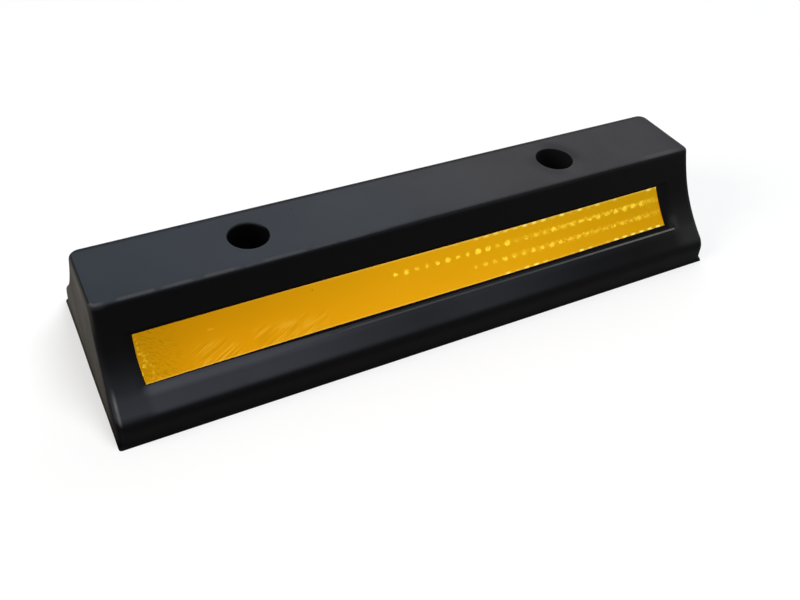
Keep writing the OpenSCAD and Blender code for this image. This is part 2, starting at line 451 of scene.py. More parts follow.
def stripPoint(u, v):
    # u along the length and v up the width, both from 0 to 1
    left = strip["left"] - strip["leftSlant"] * v - strip["leftBow"] * 4 * v * (1 - v)
    right = strip["right"] - strip["rightSlant"] * (v - 0.5) * 2
    lowLeft, lowRight, highLeft, highRight = strip["climb"]
    x = mixed(left, right, u)
    wave = strip["wave"][0] * math.sin(2 * math.pi * u / strip["wave"][1])
    a1 = faceAngle(strip["bottom"] + mixed(lowLeft, lowRight, u) + wave)
    a2 = faceAngle(strip["top"] + mixed(highLeft, highRight, u) + wave)
    angle = mixed(a1, a2, v)
    radius = body["faceRadius"] + strip["face"]
    centre = section["faceC"]
    return Vector((x, -centre.x + radius * math.cos(angle), centre.y - radius * math.sin(angle))) * mm


def cellAlong(x):
    return (x - strip["cellFrom"]) / strip["cell"]


def cellUp(z):
    return strip["rows"] * (arcAt(z) - arcAt(strip["bottom"])) / (arcAt(strip["top"]) - arcAt(strip["bottom"]))


def buildStrip():
    bm = bmesh.new()
    made = bmesh.ops.create_grid(bm, x_segments=strip["along"], y_segments=strip["across"], size=0.5)
    uvLayer = bm.loops.layers.uv.new("cells")
    share = {v: (v.co.x + 0.5, v.co.y + 0.5) for v in made["verts"]}
    for face in bm.faces:
        for loop in face.loops:
            u, v = share[loop.vert]
            loop[uvLayer].uv = (cellAlong(stripPoint(u, v).x / mm), v * strip["rows"])
    for vert, (u, v) in share.items():
        vert.co = stripPoint(u, v)
    bmesh.ops.recalc_face_normals(bm, faces=bm.faces)
    if sum(f.normal.y for f in bm.faces) > 0:
        bmesh.ops.reverse_faces(bm, faces=bm.faces)
    bmesh.ops.solidify(bm, geom=bm.faces[:], thickness=strip["thickness"] * mm)
    print("strip: faces", len(bm.faces))
    return meshPiece("prismaticStrip", bm, strip["sharpAngle"])


def newMaterial(name):
    material = bpy.data.materials.new(name)
    material.use_nodes = True
    tree = material.node_tree
    return material, tree, tree.nodes["Principled BSDF"]


def node(tree, kind, inputs=None, **settings):
    made = tree.nodes.new(kind)
    for key, value in settings.items():
        setattr(made, key, value)
    for key, value in (inputs or {}).items():
        if isinstance(value, bpy.types.NodeSocket):
            tree.links.new(value, made.inputs[key])
        else:
            made.inputs[key].default_value = value
    return made


def ramp(tree, factor, stops):
    # a colour or grey that changes with factor, through the given stops
    made = node(tree, "ShaderNodeValToRGB", {"Fac": factor})
    made.color_ramp.elements.remove(made.color_ramp.elements[1])
    for i, (position, value) in enumerate(stops):
        element = made.color_ramp.elements[0] if i == 0 else made.color_ramp.elements.new(position)
        element.position = position
        element.color = (*value, 1) if isinstance(value, tuple) else (value, value, value, 1)
    return made.outputs["Color"]


def calc(tree, operation, a, b=0.0, c=0.0):
    return node(tree, "ShaderNodeMath", {0: a, 1: b, 2: c}, operation=operation).outputs[0]


def times(tree, first, *others):
    for other in others:
        first = calc(tree, "MULTIPLY", first, other)
    return first


def most(tree, first, *others):
    # the largest of several values
    for other in others:
        first = calc(tree, "MAXIMUM", first, other)
    return first


def squares(tree, a, b):
    return calc(tree, "ADD", calc(tree, "POWER", a, 2.0), calc(tree, "POWER", b, 2.0))


def span(tree, value, start, end):
    # even share of the way from start to end
    return node(tree, "ShaderNodeMapRange", {"Value": value, "From Min": start, "From Max": end}).outputs["Result"]


def fade(tree, value, start, end, low=0.0, high=1.0):
    # smooth step from low at start to high at end
    limits = {"Value": value, "From Min": start, "From Max": end, "To Min": low, "To Max": high}
    return node(tree, "ShaderNodeMapRange", limits, interpolation_type="SMOOTHSTEP").outputs["Result"]


def fades(tree, look, *pairs):
    # product of smooth steps, each given as a value and the name of its limits in the settings
    return times(tree, *(fade(tree, value, *look[name]) for value, name in pairs))


def near(tree, value, middle, outer, inner):
    # 0 beyond the outer distance from middle, 1 within the inner one
    return fade(tree, calc(tree, "ABSOLUTE", calc(tree, "SUBTRACT", value, middle)), outer, inner)


def noiseAt(tree, place, scale, detail, roughness=0.5, dimensions="3D"):
    inputs = {"Vector": place, "Scale": scale, "Detail": detail, "Roughness": roughness}
    return node(tree, "ShaderNodeTexNoise", inputs, noise_dimensions=dimensions).outputs["Fac"]


def cellNoise(tree, place, size, channel):
    # one random grey for each small irregular cell
    cells = node(tree, "ShaderNodeTexVoronoi", {"Vector": place, "Scale": 1 / size}, voronoi_dimensions="2D")
    return node(tree, "ShaderNodeSeparateColor", {"Color": cells.outputs["Color"]}).outputs[channel]


def bump(tree, height, size, **others):
    # the normal of a bumped surface; size is the strength and the depth in metres
    inputs = {"Height": height, "Strength": size[0], "Distance": size[1], **others}
    return node(tree, "ShaderNodeBump", inputs).outputs["Normal"]


def blend(tree, factor, a, b):
    made = node(tree, "ShaderNodeMix", data_type="RGBA")
    for entry, value in ((made.inputs[0], factor), (made.inputs[6], a), (made.inputs[7], b)):
        if isinstance(value, bpy.types.NodeSocket):
            tree.links.new(value, entry)
        else:
            entry.default_value = value if isinstance(value, float) else (*value, 1)
    return made.outputs[2]


# Satin black rubber with a painted pale bluish sheen on what faces up, a painted reflection of the light from above. A
# pair says where a change starts and where it is full: millimetres along, across or up the object, or a lean, -1 to
# the left or the front, 1 to the right or the rear
rubberLook = {
    "dark": (0.0014, 0.0014, 0.0016),
    "specular": 0.042, "roughness": [(0.3, 0.56), (0.7, 0.64)],
    "cloud": 14.0, "mottle": 0.48, "smear": 70.0, "polish": 35.0,
    "grain": 1400.0, "grainBump": (0.04, 0.0004), "ripple": 60.0, "rippleBump": (0.03, 0.002),
    # surfaces flatter than this count as leaning nowhere
    "leastLean": 0.02,
    # rougher low at the left end
    "matter": 0.4, "matterLean": (-0.55, -0.8), "matterHeight": (60.0, 35.0),
    "matterAt": -82.0, "matterReach": (34.0, 8.0),
    "top": {
        # the painted sheen's colour from the left end to the right
        "paintedSheen": [(0.0, (0.029, 0.035, 0.044)), (0.42, (0.037, 0.0415, 0.0485)), (0.62, (0.040, 0.040, 0.044)),
                  (0.95, (0.034, 0.033, 0.037)), (1.0, (0.026, 0.0255, 0.029))],
        "edge": (91.0, 91.48), "frontLean": (-0.2, -0.6), "frontDrop": (0.7, 0.08),
        "overAlong": (0.0, -150.0), "overDrop": (1.8, 0.45), "tipAlong": (-255.0, -261.0), "tipLean": (-0.95, -0.75),
        "trailHeight": (87.5, 90.5), "trailAlong": (60.0, 200.0, 0.27, 0.16),
        "rearAcross": (26.5, 30.0), "rearAlong": (90.0, 180.0, 0.25, 0.45),
        # painted highlight along the front left top edge, and a painted highlight on the rim near the right front
        # corner
        "edgeHighlightColour": (0.062, 0.064, 0.068), "edgeHighlightLow": (89.9, 90.6), "edgeHighlightHigh": (91.5, 91.3),
        "edgeHighlightPatches": (0.38, 0.56, 0.15, 1.0),
        "rim": 0.5, "rimAt": 238.0, "rimReach": (28.0, 8.0), "rimAcross": (-25.5, -28.5), "rimHeight": (90.6, 91.3),
    },
    "socket": {
        "smudge": 0.36, "smudgeReach": (32.0, 18.0), "smudgeTurn": 30.0, "smudgeSides": (0.3, 0.85),
        "smudgeHeight": (91.1, 91.4),
        "dustColour": (0.008, 0.008, 0.0085), "dustReach": (17.0, 16.5), "dustHeight": (91.3, 90.5),
    },
    # painted sheen on the face under and beside the strip, a painted reflection of the light from above
    "front": {
        "colour": (0.056, 0.060, 0.072), "rightColour": (0.061, 0.061, 0.063), "rightAlong": (150.0, 235.0),
        "lean": (-0.15, -0.6), "foot": (17.5, 21.0),
        # how strong the painted sheen is along the band under the strip, from the left end to the right
        "band": [(0.0, 0.7), (0.16, 0.67), (0.28, 0.59), (0.39, 0.375), (0.46, 0.30), (0.54, 0.35), (0.61, 0.29),
                 (0.68, 0.175), (0.77, 0.07), (0.86, 0.03), (0.93, 0.07), (1.0, 0.2)],
        "bandTop": (33.95, 33.25), "bandFoot": (19.3, 22.8, 0.1, 1.0), "softAlong": (-90.0, -200.0), "softRise": 0.85,
        # and how much more of it there is on the slope at the band's top
        "slope": [(0.0, 0.3), (0.28, 0.19), (0.39, 0.05), (0.6, 0.03), (0.7, 0.07), (1.0, 0.03)],
        "slopeHeight": (28.5, 31.5),
        # and up the face on both sides of the strip, by height
        "sides": [(20.0, 0.08), (23.5, 0.47), (31.0, 0.43), (36.0, 0.25), (42.0, 0.16), (50.0, 0.05), (60.0, 0.0)],
        "sidesAlong": (-50.0, 50.0, 1.08, 0.78), "leftSide": (-241.0, -250.0),
        # the right side's two limits, low down and higher up
        "rightSide": [(238.0, 237.0), (257.0, 247.0)], "rightHeight": (31.0, 34.0),
        "nook": 0.2, "nookAt": (245.0, 37.5), "nookReach": [(7.0, 1.0), (8.0, 1.0)],
        "behind": 0.8, "behindLean": (0.15, 0.6),
    },
    # a painted highlight along the ledge's edge
    "ledge": {
        "colour": (0.145, 0.145, 0.148), "low": (32.55, 32.85), "high": (33.9, 33.5), "forward": (-66.0, -66.6),
        "along": (60.0, 210.0, 0.27, 0.95), "leftEnd": (-120.0, -75.0), "rightEnd": (244.5, 243.0),
        "patches": (0.3, 0.6, 0.7, 1.0),
    },
    # painted warm light on both ends, and a painted highlight near their top
    "ends": {
        "colour": (0.0152, 0.0112, 0.0056), "share": 1.3, "along": (255.0, 258.0), "lean": (0.75, 0.97),
        "height": (91.0, 89.6), "rise": (45.0, 88.0, 0.78, 1.0),
        # the front outline of the end, as a curve over the height, and how far behind it the painted light starts and
        # is full
        "outline": (0.0038, -1.06, 97.0), "lightFrom": [(-0.16, 10.0), (-0.45, 48.0)],
        "paleColour": (0.036, 0.033, 0.028), "paleLean": (0.5, 0.95), "paleSide": (0.0, 1.0, 1.0, 0.4),
        "paleLow": (66.0, 88.0), "paleHigh": (91.2, 90.2),
    },
    # a painted highlight low down on the left front corner
    "cornerHighlight": {
        "colour": (0.135, 0.133, 0.13), "leanAt": -0.5, "leanReach": (0.24, 0.03), "leanY": (-0.15, -0.6),
        "along": (-255.0, -262.0),
        "low": (18.0, 24.0), "high": (40.5, 27.0), "patches": (0.25, 0.6, 0.6, 1.0),
    },
}


def rubberPlace(tree):
    # where a point of the body lies, which way it leans, and the noises that break up the painted sheen and highlights
    place = node(tree, "ShaderNodeTexCoord").outputs["Object"]
    parts = node(tree, "ShaderNodeSeparateXYZ", {"Vector": place}).outputs
    x, y, z = (times(tree, parts[axis], 1 / mm) for axis in "XYZ")
    geometry = node(tree, "ShaderNodeNewGeometry")
    normal = node(tree, "ShaderNodeSeparateXYZ", {"Vector": geometry.outputs["Normal"]}).outputs
    level = most(tree, calc(tree, "SQRT", squares(tree, normal["X"], normal["Y"])), rubberLook["leastLean"])
    leanX, leanY = (calc(tree, "DIVIDE", normal[axis], level) for axis in "XY")
    cloud = calc(tree, "SUBTRACT", noiseAt(tree, place, rubberLook["cloud"], 5.0, 0.55), 0.5)
    mottle = calc(tree, "MULTIPLY_ADD", cloud, rubberLook["mottle"], 1.0)
    return SimpleNamespace(place=place, x=x, y=y, z=z, leanX=leanX, leanY=leanY, mottle=mottle,
                           along=span(tree, x, -body["length"] / 2, body["length"] / 2),
                           smear=noiseAt(tree, place, rubberLook["smear"], 3.0))


def lowered(tree, height, *drops):
    # a height less what each factor takes off it
    for factor, drop in drops:
        height = calc(tree, "MULTIPLY_ADD", factor, -drop, height)
    return height


def paintedTopSheen(tree, at):
    look = rubberLook["top"]
    # the painted sheen ends at the top's rounded edge, and reaches over it at the front left
    frontEdge = fade(tree, at.leanY, *look["frontLean"])
    over = times(tree, fade(tree, at.x, *look["overAlong"]), frontEdge)
    tip = times(tree, over, fades(tree, look, (at.x, "tipAlong"), (at.leanX, "tipLean")))
    start = lowered(tree, look["edge"][0], (frontEdge, look["frontDrop"][0]),
                    (calc(tree, "ADD", over, tip), look["overDrop"][0]))
    full = lowered(tree, look["edge"][1], (frontEdge, look["frontDrop"][1]), (over, look["overDrop"][1]))
    trail = times(tree, frontEdge, fades(tree, look, (at.z, "trailHeight"), (at.x, "trailAlong")))
    # less painted sheen at the rear edge, least of all in the middle
    rear = fade(tree, calc(tree, "ABSOLUTE", at.x), *look["rearAlong"])
    paintedSheen = times(tree, most(tree, fade(tree, at.z, start, full), trail),
                  fade(tree, at.y, *look["rearAcross"], 1.0, rear), at.mottle)
    colour = blend(tree, paintedSheen, rubberLook["dark"], ramp(tree, at.along, look["paintedSheen"]))
    # painted highlight in patches along the front left edge, and evenly near the right front corner
    edgeHighlight = times(tree, over, fades(tree, look, (at.z, "edgeHighlightLow"), (at.z, "edgeHighlightHigh"), (at.smear, "edgeHighlightPatches")))
    rim = times(tree, near(tree, at.x, look["rimAt"], *look["rimReach"]),
                fades(tree, look, (at.y, "rimAcross"), (at.z, "rimHeight")), look["rim"])
    return blend(tree, most(tree, edgeHighlight, rim), colour, look["edgeHighlightColour"])


def dustySocket(tree, at, colour):
    # a dark smudge on two sides of the right socket, and dust in it
    look = rubberLook["socket"]
    sideways = calc(tree, "SUBTRACT", at.x, socket["span"] / 2)
    away = calc(tree, "SQRT", squares(tree, sideways, at.y))
    turn = math.radians(look["smudgeTurn"])
    turned = calc(tree, "MULTIPLY_ADD", at.y, math.sin(turn), times(tree, sideways, math.cos(turn)))
    aside = calc(tree, "ABSOLUTE", calc(tree, "DIVIDE", turned, away))
    smudge = fades(tree, look, (away, "smudgeReach"), (aside, "smudgeSides"), (at.z, "smudgeHeight"))
    colour = blend(tree, times(tree, smudge, look["smudge"]), colour, rubberLook["dark"])
    return blend(tree, fades(tree, look, (away, "dustReach"), (at.z, "dustHeight")), colour, look["dustColour"])


def paintedFrontSheen(tree, at, colour):
    look = rubberLook["front"]
    # painted sheen: the band between ledge and nose reaches a little higher on the soft slope at its left
    soft = fade(tree, at.x, *look["softAlong"])
    fromSlope = lowered(tree, at.z, (soft, look["softRise"]))
    level = calc(tree, "MULTIPLY_ADD", fade(tree, at.z, *look["slopeHeight"]), ramp(tree, at.along, look["slope"]),
                 ramp(tree, at.along, look["band"]))
    band = times(tree, fades(tree, look, (fromSlope, "bandTop"), (at.z, "bandFoot")), level)
    low, high = look["sides"][0][0], look["sides"][-1][0]
    heights = [((height - low) / (high - low), share) for height, share in look["sides"]]
    sides = times(tree, ramp(tree, span(tree, at.z, low, high), heights), fade(tree, at.x, *look["sidesAlong"]))
    start, full = (fade(tree, at.z, *look["rightHeight"], *limits) for limits in look["rightSide"])
    aside = most(tree, fade(tree, at.x, *look["leftSide"]), fade(tree, at.x, start, full))
    # the corner where recess and ledge end catches more of it
    nook = times(tree, *(near(tree, value, middle, *reach) for value, middle, reach
                         in zip((at.x, at.z), look["nookAt"], look["nookReach"])), look["nook"])
    paintedSheen = calc(tree, "ADD", times(tree, band, calc(tree, "SUBTRACT", 1.0, aside)),
                 calc(tree, "ADD", times(tree, sides, aside), nook))
    # the rear nose has a little of it too
    behind = times(tree, sides, fade(tree, at.leanY, *look["behindLean"]), look["behind"])
    paintedSheen = calc(tree, "ADD", times(tree, paintedSheen, fade(tree, at.leanY, *look["lean"])), behind)
    paintedSheen = times(tree, paintedSheen, fade(tree, at.z, *look["foot"]), at.mottle)
    tone = blend(tree, fade(tree, at.x, *look["rightAlong"]), look["colour"], look["rightColour"])
    return blend(tree, paintedSheen, colour, tone)


def paintedLedgeHighlight(tree, at, colour):
    # a painted highlight along the ledge's edge
    look = rubberLook["ledge"]
    line = fades(tree, look, (at.z, "low"), (at.z, "high"), (at.y, "forward"), (at.x, "along"), (at.x, "leftEnd"),
                 (at.x, "rightEnd"), (at.smear, "patches"))
    return blend(tree, line, colour, look["colour"])


def paintedEndLight(tree, at, colour):
    look = rubberLook["ends"]
    # painted warm light on both ends, less of it towards the front corner
    bend, slope, reach = look["outline"]
    outline = calc(tree, "MULTIPLY_ADD", at.z, calc(tree, "MULTIPLY_ADD", at.z, bend, slope), reach)
    start, full = (calc(tree, "MULTIPLY_ADD", at.z, slope, reach) for slope, reach in look["lightFrom"])
    endward, outward = calc(tree, "ABSOLUTE", at.leanX), calc(tree, "ABSOLUTE", at.x)
    behind = fade(tree, calc(tree, "ADD", outline, at.y), start, full)
    endLight = fades(tree, look, (endward, "lean"), (outward, "along"), (at.z, "height"), (at.z, "rise"))
    colour = blend(tree, times(tree, endLight, behind, at.mottle, look["share"]), colour, look["colour"])
    # a painted highlight near the top, less of it at the right
    pale = fades(tree, look, (endward, "paleLean"), (outward, "along"), (at.x, "paleSide"), (at.z, "paleLow"),
                 (at.z, "paleHigh"))
    return blend(tree, times(tree, pale, at.mottle), colour, look["paleColour"])


def paintedCornerHighlight(tree, at, colour):
    # a painted highlight low down on the left front corner
    look = rubberLook["cornerHighlight"]
    cornerHighlight = times(tree, near(tree, at.leanX, look["leanAt"], *look["leanReach"]),
                  fades(tree, look, (at.leanY, "leanY"), (at.x, "along"), (at.z, "low"), (at.z, "high"),
                        (at.smear, "patches")))
    return blend(tree, cornerHighlight, colour, look["colour"])


def rubberMaterial():
    material, tree, shader = newMaterial("satinRubber")
    look, at = rubberLook, rubberPlace(tree)
    shader.distribution = "GGX"
    colour = paintedTopSheen(tree, at)
    for layer in (dustySocket, paintedFrontSheen, paintedLedgeHighlight, paintedEndLight, paintedCornerHighlight):
        colour = layer(tree, at, colour)
    tree.links.new(colour, shader.inputs["Base Color"])

    polish = ramp(tree, noiseAt(tree, at.place, look["polish"], 4.0), look["roughness"])
    matter = times(tree, fades(tree, look, (at.leanX, "matterLean"), (at.z, "matterHeight")),
                   near(tree, at.y, look["matterAt"], *look["matterReach"]), look["matter"])
    tree.links.new(calc(tree, "ADD", polish, matter), shader.inputs["Roughness"])
    # moulded surface: a faint ripple under a fine grain
    ripple = bump(tree, noiseAt(tree, at.place, look["ripple"], 3.0), look["rippleBump"])
    grain = bump(tree, noiseAt(tree, at.place, look["grain"], 2.0), look["grainBump"], Normal=ripple)
    tree.links.new(grain, shader.inputs["Normal"])
    shader.inputs["Specular IOR Level"].default_value = look["specular"]
    return material


# Amber prismatic sheet, in millimetres along and up the object; heights on the sheet itself are in rows of cells
stripLook = {
    # the sheet's amber along its upper and its lower part; its brighter middle and lower part are painted light
    "upper": [(0.0, (0.68, 0.31, 0.001)), (0.12, (0.80, 0.35, 0.001)), (0.45, (0.98, 0.46, 0.003)),
              (0.65, (0.97, 0.48, 0.003)), (1.0, (0.78, 0.41, 0.002))],
    "lower": [(0.0, (0.71, 0.325, 0.001)), (0.12, (0.90, 0.38, 0.001)), (0.45, (1.0, 0.455, 0.004)),
              (0.65, (0.98, 0.47, 0.004)), (1.0, (0.79, 0.39, 0.002))],
    "between": (0.6, 2.6),
    # painted highlights: the colours of the glint marks, of the pale cut edges and of the glinting flecks
    "glintMark": (1.0, 0.68, 0.04), "edge": (1.0, 0.80, 0.16), "streak": (1.0, 0.50, 0.02), "shade": (0.42, 0.22, 0.001),
    "glintFleck": (1.0, 0.62, 0.03), "cut": (0.85, 0.25, 0.003),
    "specular": 0.035, "roughness": 0.5, "mirror": 0.8, "facetBump": (0.08, 0.0002), "wobble": 0.55,
    # sizes of the small facets that break up the marks, glint between them and glint as flakes at the ends
    "facet": 1.3, "broken": (0.55, 1.05), "spark": 1.1, "sparkLevel": (0.78, 0.95),
    "flake": 1.6, "flakeLevel": (0.62, 0.95),
    # rows of painted glint marks on the prism cells: number, shift in cells, where it starts and is full, strength;
    # the lower one starts further right
    "rows": [(2.08, 0.0, -42.0, -40.0, 1.0), (1.09, 0.5, 30.0, 36.0, 0.85)],
    "rowsEnd": (232.0, 205.0, 0.5, 1.0), "wander": 2.4,
    "oval": (1.15, 0.45), "blob": (2.2, 3.3), "blobFlat": 0.8, "blobLevel": (0.0, 0.8, 0.35, 1.0),
    "core": (1.3, 1.2), "coreWander": 3.0, "coreDown": 0.5, "coreLevel": (0.2, 0.7, 0.3, 1.0),
    "chain": 0.5, "chainRise": 2.6, "chainDown": 1.0, "chainWidth": (1.9, 0.3),
    "glint": 0.95, "glintReach": (3.4, 1.2), "glow": (40.0, 150.0),
    # painted highlights along the cut edges: pale lines and dashes
    "dash": (3.6, 1.0), "dashLevel": (0.15, 0.75, 0.12, 1.0),
    "upperDash": (2.79, 2.93), "upperDashAlong": (-20.0, 90.0),
    "upperLine": (2.88, 2.96), "upperLineAlong": (-250.0, 50.0, 0.0, 0.3),
    "lowerDash": (0.19, 0.08), "lowerDashAlong": (45.0, 75.0), "lowerLine": (0.12, 0.04, 0.0, 0.16),
    "leftFlakes": (-229.0, -240.0, 0.0, 0.9), "flakeSlant": 0.4, "rightFlakes": (205.0, 232.0, 0.0, 0.22),
    # slanted streaks and furrows near the lower edge: middle and half length of each patch
    "streakPlaces": [(-190.0, 21.0), (-143.0, 21.0), (-112.0, 13.0)], "streakCore": 0.6, "streakUp": (1.5, 0.9),
    "streakTurn": 25.0, "streakSize": (30.0, 1.5), "streakLevel": (0.50, 0.62, 0.0, 0.85),
    "furrowLevel": (0.46, 0.34, 0.0, 0.18),
    "tip": (-204.0, -238.0), "tipTurn": -33.0, "tipSize": (5.0, 1.1), "tipLevel": (0.48, 0.66, 0.0, 0.5),
    # pale spots and a dark dot: along, up, half length, half height, strength
    "spots": [(-134.0, 45.5, 9.0, 2.6, 0.7), (-191.0, 56.0, 3.2, 0.9, 0.6), (-39.6, 46.0, 1.0, 2.2, 0.7)],
    "dot": (-108.8, 62.0, 0.9, 0.9, 0.55), "spotEdge": (1.2, 0.4),
    # the cut at the right end: where the deeper orange starts and is full before the end, and its share up the strip
    "cutFrom": (1.8, 0.6), "cutUp": (3.0, 0.5, 0.3, 0.8),
}


def stripPlace(tree):
    # where a point lies on the sheet, counted in cells along and rows up, and flat in millimetres
    rowHeight = (arcAt(strip["top"]) - arcAt(strip["bottom"])) / strip["rows"]
    uv = node(tree, "ShaderNodeUVMap", uv_map="cells").outputs["UV"]
    split = node(tree, "ShaderNodeSeparateXYZ", {"Vector": uv}).outputs
    size = (strip["cell"], rowHeight, 1.0)
    flat = node(tree, "ShaderNodeVectorMath", {0: uv, 1: size}, operation="MULTIPLY").outputs["Vector"]
    return SimpleNamespace(along=split["X"], up=split["Y"], flat=flat, rowHeight=rowHeight,
                           facet=cellNoise(tree, flat, stripLook["facet"], "Red"))


def fadeAlong(tree, sheet, start, end, low=0.0, high=1.0):
    return fade(tree, sheet.along, cellAlong(start), cellAlong(end), low, high)


def stretchedNoise(tree, sheet, turn, size):
    # noise drawn out along a slanted direction
    inputs = {"Vector": sheet.flat, "Rotation": (0, 0, math.radians(turn)), "Scale": (*size, 1.0)}
    turned = node(tree, "ShaderNodeMapping", inputs, vector_type="TEXTURE").outputs["Vector"]
    return noiseAt(tree, turned, 1.0, 2.0, dimensions="2D")


def glintMarkRow(tree, sheet, wobble, broken, glow, row, shift, start, full, level):
    # one row of painted glint marks, a cell each, and the painted dashes that the same cells show on the cut edge
    look, cell = stripLook, strip["cell"]
    moved = calc(tree, "ADD", sheet.along, 0.5 + shift)
    seed = node(tree, "ShaderNodeCombineXYZ", {"X": calc(tree, "FLOOR", moved), "Y": row}).outputs[0]
    random = node(tree, "ShaderNodeTexWhiteNoise", {"Vector": seed}, noise_dimensions="2D").outputs["Color"]
    own = node(tree, "ShaderNodeSeparateColor", {"Color": random}).outputs
    sideways = times(tree, calc(tree, "SUBTRACT", calc(tree, "FRACT", moved), 0.5), cell)
    upward = calc(tree, "ADD", times(tree, calc(tree, "SUBTRACT", sheet.up, row), sheet.rowHeight),
                  calc(tree, "MULTIPLY_ADD", wobble, look["wander"], -look["wander"] / 2))

    def oval(across, above, wide, high):
        dx = calc(tree, "DIVIDE", calc(tree, "SUBTRACT", sideways, across), wide)
        dy = calc(tree, "DIVIDE", calc(tree, "SUBTRACT", upward, above), high)
        return fade(tree, squares(tree, dx, dy), *look["oval"])

    size = fade(tree, own["Blue"], 0.0, 1.0, *look["blob"])
    blob = times(tree, oval(0.0, 0.0, size, times(tree, size, look["blobFlat"])),
                 fade(tree, own["Red"], *look["blobLevel"]), broken)
    across = calc(tree, "MULTIPLY_ADD", own["Green"], look["coreWander"], -look["coreWander"] / 2)
    core = times(tree, oval(across, -look["coreDown"], *look["core"]), fade(tree, own["Blue"], *look["coreLevel"]))
    # the chain links cell to cell: low in the middle of a cell, high between two
    rise = look["chainRise"] / (cell / 2)
    link = calc(tree, "MULTIPLY_ADD", calc(tree, "ABSOLUTE", sideways), rise, -look["chainDown"])
    chain = times(tree, near(tree, upward, link, *look["chainWidth"]), glow, look["chain"], broken)
    spark = fade(tree, cellNoise(tree, sheet.flat, look["spark"], "Blue"), *look["sparkLevel"])
    glints = times(tree, near(tree, upward, 0.0, *look["glintReach"]), glow, spark, look["glint"])
    glintMarks = times(tree, most(tree, blob, core, chain, glints), fadeAlong(tree, sheet, start, full),
                  fadeAlong(tree, sheet, *look["rowsEnd"]), level)
    dashes = times(tree, near(tree, sideways, 0.0, *look["dash"]), fade(tree, own["Green"], *look["dashLevel"]))
    return glintMarks, dashes


def cutEdges(tree, sheet, upperDashes, lowerDashes):
    # painted highlights: a thin pale line along the cut edges, with brighter dashes towards the right
    look = stripLook

    def edgePart(name):
        return times(tree, fade(tree, sheet.up, *look[name]), fadeAlong(tree, sheet, *look[name + "Along"]))

    return most(tree, times(tree, edgePart("upperDash"), upperDashes), edgePart("upperLine"),
                times(tree, edgePart("lowerDash"), lowerDashes), fade(tree, sheet.up, *look["lowerLine"]))


def spotOn(tree, sheet, x, z, halfLong, halfHigh, level):
    aside = calc(tree, "DIVIDE", calc(tree, "SUBTRACT", sheet.along, cellAlong(x)), halfLong / strip["cell"])
    above = calc(tree, "DIVIDE", calc(tree, "SUBTRACT", sheet.up, cellUp(z)), halfHigh / sheet.rowHeight)
    return times(tree, fade(tree, calc(tree, "SQRT", squares(tree, aside, above)), *stripLook["spotEdge"]), level)


def streaksAndShade(tree, sheet):
    # slanted streaks, furrows and spots, and the darker hatching at the left end
    look = stripLook
    core = look["streakCore"]
    places = most(tree, *(times(tree, fadeAlong(tree, sheet, middle - half, middle - half * core),
                                fadeAlong(tree, sheet, middle + half, middle + half * core))
                          for middle, half in look["streakPlaces"]))
    hatch = stretchedNoise(tree, sheet, look["streakTurn"], look["streakSize"])
    low = times(tree, places, fade(tree, sheet.up, *look["streakUp"]))
    streaks = most(tree, times(tree, fade(tree, hatch, *look["streakLevel"]), low),
                   *(spotOn(tree, sheet, *spot) for spot in look["spots"]))
    hatching = fade(tree, stretchedNoise(tree, sheet, look["tipTurn"], look["tipSize"]), *look["tipLevel"])
    shade = most(tree, times(tree, hatching, fadeAlong(tree, sheet, *look["tip"])), spotOn(tree, sheet, *look["dot"]),
                 times(tree, fade(tree, hatch, *look["furrowLevel"]), low))
    return streaks, shade


def paintedFlakeGlints(tree, sheet):
    # painted glints of small facets at both ends
    look = stripLook
    flake = fade(tree, cellNoise(tree, sheet.flat, look["flake"], "Green"), *look["flakeLevel"])
    start, full, low, high = look["leftFlakes"]
    slanted = calc(tree, "MULTIPLY_ADD", sheet.up, look["flakeSlant"], sheet.along)
    left = fade(tree, slanted, cellAlong(start), cellAlong(full), low, high)
    return times(tree, most(tree, left, fadeAlong(tree, sheet, *look["rightFlakes"])), flake)


def rightCut(tree, sheet):
    # the cut at the right end shows the sheet's deeper orange
    look, end = stripLook, strip["right"] + strip["rightSlant"]
    slant = 2 * strip["rightSlant"] / strip["cell"] / strip["rows"]
    straight = calc(tree, "MULTIPLY_ADD", sheet.up, slant, sheet.along)
    start, full = look["cutFrom"]
    return times(tree, fade(tree, straight, cellAlong(end - start), cellAlong(end - full)),
                 fade(tree, sheet.up, *look["cutUp"]))


def stripMaterial():
    material, tree, shader = newMaterial("amberPrism")
    look, sheet = stripLook, stripPlace(tree)
    shader.distribution = "GGX"
    wobble = noiseAt(tree, sheet.flat, look["wobble"], 2.0, dimensions="2D")
    broken = fade(tree, calc(tree, "ADD", sheet.facet, wobble), *look["broken"])
    glow = fadeAlong(tree, sheet, *look["glow"])
    rows = [glintMarkRow(tree, sheet, wobble, broken, glow, *row) for row in look["rows"]]
    glintMarks = most(tree, *(row[0] for row in rows))
    edges = cutEdges(tree, sheet, rows[0][1], rows[1][1])
    streaks, shade = streaksAndShade(tree, sheet)

    share = span(tree, sheet.along, cellAlong(strip["left"]), cellAlong(strip["right"]))
    colour = blend(tree, fade(tree, sheet.up, *look["between"]), ramp(tree, share, look["lower"]),
                   ramp(tree, share, look["upper"]))
    for factor, tone in ((streaks, "streak"), (shade, "shade"), (paintedFlakeGlints(tree, sheet), "glintFleck"), (glintMarks, "glintMark"),
                         (edges, "edge"), (rightCut(tree, sheet), "cut")):
        colour = blend(tree, factor, colour, look[tone])
    tree.links.new(colour, shader.inputs["Base Color"])
    # where the prisms show they send the light back as small mirrors
    tree.links.new(times(tree, most(tree, glintMarks, edges), look["mirror"]), shader.inputs["Metallic"])
    tree.links.new(bump(tree, sheet.facet, look["facetBump"]), shader.inputs["Normal"])
    shader.inputs["Specular IOR Level"].default_value = look["specular"]
    shader.inputs["Roughness"].default_value = look["roughness"]
    return material


